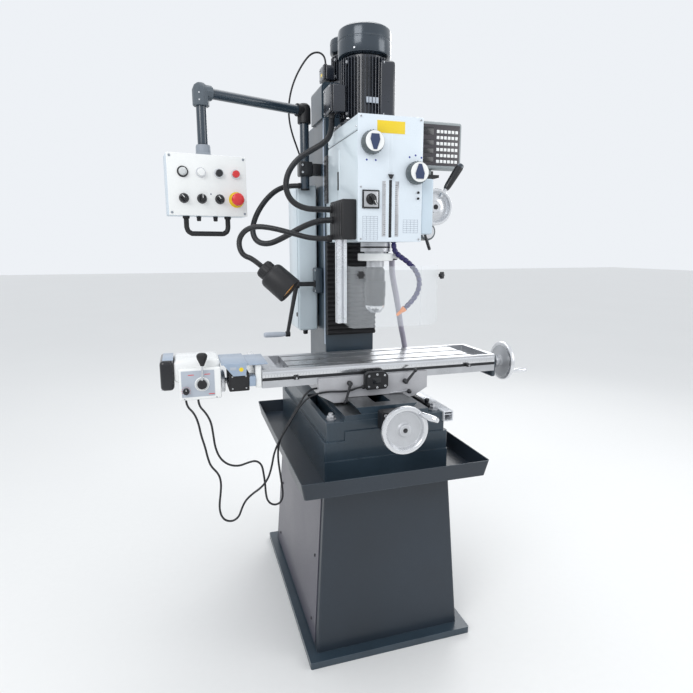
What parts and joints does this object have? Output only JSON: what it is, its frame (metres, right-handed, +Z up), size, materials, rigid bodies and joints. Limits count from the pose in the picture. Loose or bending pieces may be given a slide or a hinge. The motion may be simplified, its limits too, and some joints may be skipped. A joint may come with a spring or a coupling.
{
  "type": "benchtop milling machine",
  "caption": "Mill-drill on a cabinet stand, with cross table, power feed, digital readout, guard, lamp and swinging control pendant.",
  "frame": {"origin": "centre of the base plate's underside", "axes": "+Z up, +X to the operator's right along the table, +Y from the operator towards the column"},
  "size_m": [1.393, 1.0242, 2.1446],
  "materials": {
    "slate_paint": "semi-gloss dark slate-blue enamel",
    "pale_paint": "satin pale grey-white enamel",
    "motor_paint": "satin black-grey enamel",
    "fan_cover_paint": "satin dark grey enamel",
    "black_rubber": "matt folded rubber",
    "bright_steel": "ground steel",
    "machined_iron": "ground and pale painted iron",
    "cast_aluminium": "turned and bead-blasted aluminium",
    "black_plastic": "moulded black plastic",
    "black_steel": "blackened steel",
    "grey_sheet": "satin blue-grey enamel on sheet metal",
    "white_plastic": "gloss white moulding",
    "grey_plastic": "fine-grained grey moulding",
    "red_plastic": "gloss red moulding",
    "clear_polycarbonate": "clear polycarbonate",
    "black_hose": "ribbed black conduit and sheathed cable",
    "blue_hose": "dark blue jointed coolant hose",
    "grey_hose": "grey braided hose"
  },
  "bodies": {
    "base": {"base_plate": "slate_paint", "stand_cabinet": "slate_paint", "stand_side_cover": "slate_paint", "chip_tray": "slate_paint", "base_casting": "slate_paint", "column": "slate_paint", "column_bellows": "black_rubber", "y_bearing_block": "slate_paint", "y_scale_cover": "cast_aluminium", "z_drive": "motor_paint", "electrical_cabinet": "pale_paint", "pendant_post": "black_steel", "fixing_screws": "bright_steel", "cable_z_motor": "black_hose", "return_hose": "grey_hose"},
    "z_crank": {"z_crank": "black_steel"},
    "saddle": {"saddle": "machined_iron", "limit_switch": "black_plastic", "feed_cable_left": "black_hose", "feed_cable_right": "black_hose"},
    "clamp_lever_left": {"clamp_lever_left": "black_steel"},
    "clamp_lever_right": {"clamp_lever_right": "black_steel"},
    "y_screw": {"y_feed_screw": "cast_aluminium"},
    "table": {"table": "bright_steel", "table_scale": "cast_aluminium", "table_end_brackets": "grey_sheet", "feed_cover": "grey_sheet", "feed_housing": "white_plastic"},
    "x_screw": {"x_feed_screw": "cast_aluminium"},
    "feed_lever": {"feed_lever": "black_plastic"},
    "feed_speed_knob": {"feed_speed_knob": "black_plastic"},
    "head": {"head_housing": "pale_paint", "head_front_plate": "pale_paint", "motor_body": "motor_paint", "motor_fan_cover": "fan_cover_paint", "feed_gearbox": "pale_paint", "guard_switch_block": "black_plastic", "lamp_head": "black_plastic", "lamp_gooseneck": "black_hose", "conduit_motor": "black_hose", "conduit_pendant": "black_hose", "coolant_hose": "blue_hose"},
    "dro": {"dro_display": "grey_plastic"},
    "guard": {"guard_screen": "clear_polycarbonate"},
    "quill": {"quill": "bright_steel"},
    "spindle": {"drill_chuck": "black_steel"},
    "feed_hub": {"feed_hub": "cast_aluminium"},
    "speed_knob_upper": {"speed_knob_upper": "black_plastic"},
    "speed_knob_lower": {"speed_knob_lower": "black_plastic"},
    "main_switch": {"main_switch": "black_plastic"},
    "quill_lock": {"quill_lock": "black_steel"},
    "pendant_arm": {"pendant_arm": "black_steel"},
    "pendant_box": {"pendant_box": "pale_paint"},
    "button_white": {"button_white": "white_plastic"},
    "button_black": {"button_black": "black_plastic"},
    "button_red": {"button_red": "red_plastic"},
    "selector_1": {"selector_1": "black_plastic"},
    "selector_2": {"selector_2": "black_plastic"},
    "selector_3": {"selector_3": "black_plastic"},
    "emergency_stop": {"emergency_stop": "red_plastic"}
  },
  "joints": [
    {"name": "y_slide", "type": "slide", "parent": "base", "child": "saddle", "axis": [0, 1, 0], "range_m": [-0.16, 0.03]},
    {"name": "y_handwheel_turn", "type": "hinge", "parent": "base", "child": "y_screw", "pos_m": [0, -0.49, 0.822], "axis": [0, 1, 0], "range_deg": [-11540, 2180]},
    {"name": "x_slide", "type": "slide", "parent": "saddle", "child": "table", "axis": [1, 0, 0], "range_m": [-0.24, 0.18]},
    {"name": "x_handwheel_turn", "type": "hinge", "parent": "table", "child": "x_screw", "pos_m": [0.602, -0.088, 0.922], "axis": [1, 0, 0], "range_deg": [-17300, 12980]},
    {"name": "z_slide", "type": "slide", "parent": "base", "child": "head", "axis": [0, 0, 1], "range_m": [-0.145, 0.08], "deforming": ["column_bellows", "return_hose", "conduit_pendant"]},
    {"name": "z_crank_turn", "type": "hinge", "parent": "base", "child": "z_crank", "pos_m": [-0.2, 0.122, 1.237], "axis": [1, 0, 0], "range_deg": [-26120, 14420]},
    {"name": "quill_feed", "type": "slide", "parent": "head", "child": "quill", "axis": [0, 0, -1], "range_m": [0, 0.12]},
    {"name": "feed_hub_turn", "type": "hinge", "parent": "head", "child": "feed_hub", "pos_m": [0.217, -0.2, 1.516], "axis": [0, 1, 0], "range_deg": [0, 130]},
    {"name": "spindle_spin", "type": "hinge", "parent": "quill", "child": "spindle", "pos_m": [0, -0.214, 1.25], "axis": [0, 0, 1], "continuous": true},
    {"name": "clamp_lever_left_turn", "type": "hinge", "parent": "saddle", "child": "clamp_lever_left", "pos_m": [-0.095, -0.23, 0.913], "axis": [0, 1, 0], "range_deg": [0, 75]},
    {"name": "clamp_lever_right_turn", "type": "hinge", "parent": "saddle", "child": "clamp_lever_right", "pos_m": [0.115, -0.23, 0.905], "axis": [0, 1, 0], "range_deg": [-30, 60]},
    {"name": "feed_lever_turn", "type": "hinge", "parent": "table", "child": "feed_lever", "pos_m": [-0.589, -0.229, 0.949], "axis": [0, 1, 0], "range_deg": [-25, 25]},
    {"name": "feed_speed_knob_turn", "type": "hinge", "parent": "table", "child": "feed_speed_knob", "pos_m": [-0.639, -0.23, 0.929], "axis": [0, 1, 0], "range_deg": [-135, 135]},
    {"name": "guard_swing", "type": "hinge", "parent": "head", "child": "guard", "pos_m": [-0.143, -0.285, 1.224], "axis": [0, 0, 1], "range_deg": [-100, 0]},
    {"name": "dro_tilt", "type": "hinge", "parent": "head", "child": "dro", "pos_m": [0.288, 0.009, 1.661], "axis": [1, 0, 0], "range_deg": [-6, 6]},
    {"name": "speed_knob_upper_turn", "type": "hinge", "parent": "head", "child": "speed_knob_upper", "pos_m": [-0.065, -0.36, 1.689], "axis": [0, 1, 0], "range_deg": [-60, 60]},
    {"name": "speed_knob_lower_turn", "type": "hinge", "parent": "head", "child": "speed_knob_lower", "pos_m": [0.082, -0.36, 1.606], "axis": [0, 1, 0], "range_deg": [-60, 60]},
    {"name": "main_switch_turn", "type": "hinge", "parent": "head", "child": "main_switch", "pos_m": [-0.066, -0.36, 1.524], "axis": [0, 1, 0], "range_deg": [-60, 60]},
    {"name": "quill_lock_turn", "type": "hinge", "parent": "head", "child": "quill_lock", "pos_m": [0.158, -0.25, 1.437], "axis": [1, 0, 0], "range_deg": [-25, 25]},
    {"name": "pendant_arm_swing", "type": "hinge", "parent": "base", "child": "pendant_arm", "pos_m": [-0.16, 0.141, 1.884], "axis": [0, 0, 1], "range_deg": [-45, 3]},
    {"name": "pendant_box_swivel", "type": "hinge", "parent": "pendant_arm", "child": "pendant_box", "pos_m": [-0.541, -0.001, 1.7], "axis": [0, 0, 1], "range_deg": [-60, 60]},
    {"name": "button_white_press", "type": "slide", "parent": "pendant_box", "child": "button_white", "axis": [-0.1219, 0.9925, 0], "range_m": [0, 0.002], "stiffness_N_per_m": 300},
    {"name": "button_black_press", "type": "slide", "parent": "pendant_box", "child": "button_black", "axis": [-0.1219, 0.9925, 0], "range_m": [0, 0.002], "stiffness_N_per_m": 300},
    {"name": "button_red_press", "type": "slide", "parent": "pendant_box", "child": "button_red", "axis": [-0.1219, 0.9925, 0], "range_m": [0, 0.002], "stiffness_N_per_m": 300},
    {"name": "selector_1_turn", "type": "hinge", "parent": "pendant_box", "child": "selector_1", "pos_m": [-0.61145, -0.05902, 1.538], "axis": [-0.1219, 0.9925, 0], "range_deg": [-45, 45]},
    {"name": "selector_2_turn", "type": "hinge", "parent": "pendant_box", "child": "selector_2", "pos_m": [-0.55389, -0.05195, 1.538], "axis": [-0.1219, 0.9925, 0], "range_deg": [-45, 45]},
    {"name": "selector_3_turn", "type": "hinge", "parent": "pendant_box", "child": "selector_3", "pos_m": [-0.49533, -0.04476, 1.538], "axis": [-0.1219, 0.9925, 0], "range_deg": [-45, 45]},
    {"name": "emergency_stop_press", "type": "slide", "parent": "pendant_box", "child": "emergency_stop", "axis": [-0.1219, 0.9925, 0], "range_m": [0, 0.005], "stiffness_N_per_m": 600}
  ],
  "couplings": [
    {"joint": "y_handwheel_turn", "follows": "y_slide", "rad_per_m": 1256.6},
    {"joint": "x_handwheel_turn", "follows": "x_slide", "rad_per_m": 1256.6},
    {"joint": "z_crank_turn", "follows": "z_slide", "rad_per_m": 3141.6},
    {"joint": "quill_feed", "follows": "feed_hub_turn", "m_per_rad": 0.052888}
  ]
}
